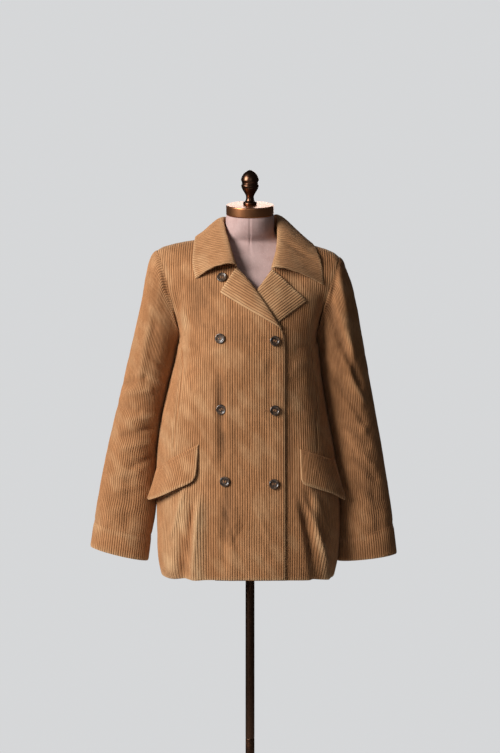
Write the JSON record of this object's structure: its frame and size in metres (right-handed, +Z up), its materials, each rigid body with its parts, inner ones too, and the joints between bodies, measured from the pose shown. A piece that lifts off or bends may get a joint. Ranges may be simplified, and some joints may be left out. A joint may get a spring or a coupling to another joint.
{
  "type": "corduroy jacket on dress form",
  "caption": "Worn tan corduroy jacket, double-breasted with flap pockets, on a limbless linen dress form with bronzed neck cap, finial, pole and round base",
  "frame": {"origin": "centre of the base's flat underside, on the floor under the pole", "axes": "+X to the wearer's left, +Y towards the back, +Z up; the jacket's front faces -Y"},
  "size_m": [0.628, 0.33, 1.5722],
  "materials": {
    "corduroy": "wide-wale cotton corduroy, tan, with worn nap",
    "horn": "polished dark brown button",
    "linen": "tight plain-weave cover",
    "bronze": "dark bronzed, polished"
  },
  "bodies": {
    "root": {"front_right": "corduroy", "front_left": "corduroy", "back": "corduroy", "sleeve_right": "corduroy", "sleeve_left": "corduroy", "collar": "corduroy", "lapel_right": "corduroy", "lapel_left": "corduroy", "pocket_flap_right": "corduroy", "pocket_flap_left": "corduroy", "button_collar": "horn", "button_right_1": "horn", "button_right_2": "horn", "button_right_3": "horn", "button_left_1": "horn", "button_left_2": "horn", "button_left_3": "horn", "form_torso": "linen", "neck_cap": "bronze", "finial": "bronze", "pole_upper": "bronze", "pole_lower": "bronze", "pole_socket": "bronze", "base": "bronze"}
  },
  "joints": []
}
